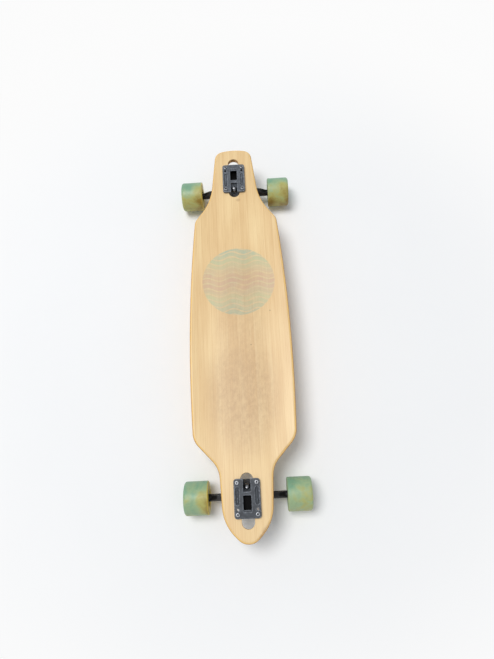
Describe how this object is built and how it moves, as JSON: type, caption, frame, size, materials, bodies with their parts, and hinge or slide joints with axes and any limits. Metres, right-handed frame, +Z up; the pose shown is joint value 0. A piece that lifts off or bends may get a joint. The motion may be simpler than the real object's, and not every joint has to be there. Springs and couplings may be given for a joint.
{
  "type": "longboard_skateboard",
  "caption": "Drop-through longboard: pale laminated deck with narrowed ends, grey baseplates laid on top, black hangers, marbled green urethane wheels.",
  "frame": {"origin": "on the floor under the middle of the deck", "axes": "+X to the board's right, +Y along the deck towards the nose, +Z up"},
  "size_m": [0.28, 0.9559, 0.1079],
  "materials": {
    "veneer": "satin pale bamboo veneer in lengthwise strips",
    "core": "laminated core, orange-brown at the edge",
    "plate_cast": "gunmetal grey paint on a casting",
    "hanger_black": "black satin paint on a casting",
    "steel": "plated steel",
    "bearing_steel": "ground bearing steel",
    "bushing_urethane": "black urethane, half gloss",
    "tyre_urethane": "marbled teal, sage and olive urethane, half gloss",
    "core_plastic": "olive moulded hub",
    "cup_plastic": "black moulded cup"
  },
  "bodies": {
    "deck": {"deck_top_veneer": "veneer", "deck_core": "core", "deck_bottom_veneer": "veneer", "front_baseplate": "plate_cast", "front_pivot_cup": "cup_plastic", "front_kingpin": "steel", "front_kingpin_nut": "steel", "front_boardside_bushing": "bushing_urethane", "front_roadside_bushing": "bushing_urethane", "front_cup_washers": "steel", "front_mounting_bolts": "steel", "front_mounting_nuts": "steel", "rear_baseplate": "plate_cast", "rear_pivot_cup": "cup_plastic", "rear_kingpin": "steel", "rear_kingpin_nut": "steel", "rear_boardside_bushing": "bushing_urethane", "rear_roadside_bushing": "bushing_urethane", "rear_cup_washers": "steel", "rear_mounting_bolts": "steel", "rear_mounting_nuts": "steel"},
    "front_truck": {"front_hanger": "hanger_black", "front_axle": "steel", "front_axle_nuts": "steel", "front_speed_rings": "steel", "front_left_inner_races": "bearing_steel", "front_left_spacer": "steel", "front_right_inner_races": "bearing_steel", "front_right_spacer": "steel"},
    "rear_truck": {"rear_hanger": "hanger_black", "rear_axle": "steel", "rear_axle_nuts": "steel", "rear_speed_rings": "steel", "rear_left_inner_races": "bearing_steel", "rear_left_spacer": "steel", "rear_right_inner_races": "bearing_steel", "rear_right_spacer": "steel"},
    "front_left_wheel": {"front_left_tyre": "tyre_urethane", "front_left_core": "core_plastic", "front_left_outer_races": "bearing_steel", "front_left_shields": "bearing_steel"},
    "front_left_ball_set": {"front_left_balls": "bearing_steel"},
    "front_right_wheel": {"front_right_tyre": "tyre_urethane", "front_right_core": "core_plastic", "front_right_outer_races": "bearing_steel", "front_right_shields": "bearing_steel"},
    "front_right_ball_set": {"front_right_balls": "bearing_steel"},
    "rear_left_wheel": {"rear_left_tyre": "tyre_urethane", "rear_left_core": "core_plastic", "rear_left_outer_races": "bearing_steel", "rear_left_shields": "bearing_steel"},
    "rear_left_ball_set": {"rear_left_balls": "bearing_steel"},
    "rear_right_wheel": {"rear_right_tyre": "tyre_urethane", "rear_right_core": "core_plastic", "rear_right_outer_races": "bearing_steel", "rear_right_shields": "bearing_steel"},
    "rear_right_ball_set": {"rear_right_balls": "bearing_steel"}
  },
  "joints": [
    {"name": "front_steer", "type": "hinge", "parent": "deck", "child": "front_truck", "pos_m": [0, 0.384, 0.0685], "axis": [0, 0.7071, 0.7071], "range_deg": [-20, 20], "stiffness_Nm_per_rad": 60, "deforming": ["front_boardside_bushing", "front_roadside_bushing"]},
    {"name": "front_left_spin", "type": "hinge", "parent": "front_truck", "child": "front_left_wheel", "pos_m": [-0.103, 0.3833, 0.0365], "axis": [1, 0, 0], "continuous": true},
    {"name": "front_left_ball_orbit", "type": "hinge", "parent": "front_truck", "child": "front_left_ball_set", "pos_m": [-0.103, 0.3833, 0.0365], "axis": [1, 0, 0], "continuous": true},
    {"name": "front_right_spin", "type": "hinge", "parent": "front_truck", "child": "front_right_wheel", "pos_m": [0.103, 0.3833, 0.0365], "axis": [1, 0, 0], "continuous": true},
    {"name": "front_right_ball_orbit", "type": "hinge", "parent": "front_truck", "child": "front_right_ball_set", "pos_m": [0.103, 0.3833, 0.0365], "axis": [1, 0, 0], "continuous": true},
    {"name": "rear_steer", "type": "hinge", "parent": "deck", "child": "rear_truck", "pos_m": [0, -0.384, 0.0685], "axis": [0, -0.7071, 0.7071], "range_deg": [-20, 20], "stiffness_Nm_per_rad": 60, "deforming": ["rear_boardside_bushing", "rear_roadside_bushing"]},
    {"name": "rear_left_spin", "type": "hinge", "parent": "rear_truck", "child": "rear_left_wheel", "pos_m": [-0.103, -0.3833, 0.0365], "axis": [1, 0, 0], "continuous": true},
    {"name": "rear_left_ball_orbit", "type": "hinge", "parent": "rear_truck", "child": "rear_left_ball_set", "pos_m": [-0.103, -0.3833, 0.0365], "axis": [1, 0, 0], "continuous": true},
    {"name": "rear_right_spin", "type": "hinge", "parent": "rear_truck", "child": "rear_right_wheel", "pos_m": [0.103, -0.3833, 0.0365], "axis": [1, 0, 0], "continuous": true},
    {"name": "rear_right_ball_orbit", "type": "hinge", "parent": "rear_truck", "child": "rear_right_ball_set", "pos_m": [0.103, -0.3833, 0.0365], "axis": [1, 0, 0], "continuous": true}
  ],
  "couplings": [
    {"joint": "front_left_ball_orbit", "follows": "front_left_spin", "ratio": 0.6323},
    {"joint": "front_right_ball_orbit", "follows": "front_right_spin", "ratio": 0.6323},
    {"joint": "rear_left_ball_orbit", "follows": "rear_left_spin", "ratio": 0.6323},
    {"joint": "rear_right_ball_orbit", "follows": "rear_right_spin", "ratio": 0.6323}
  ]
}
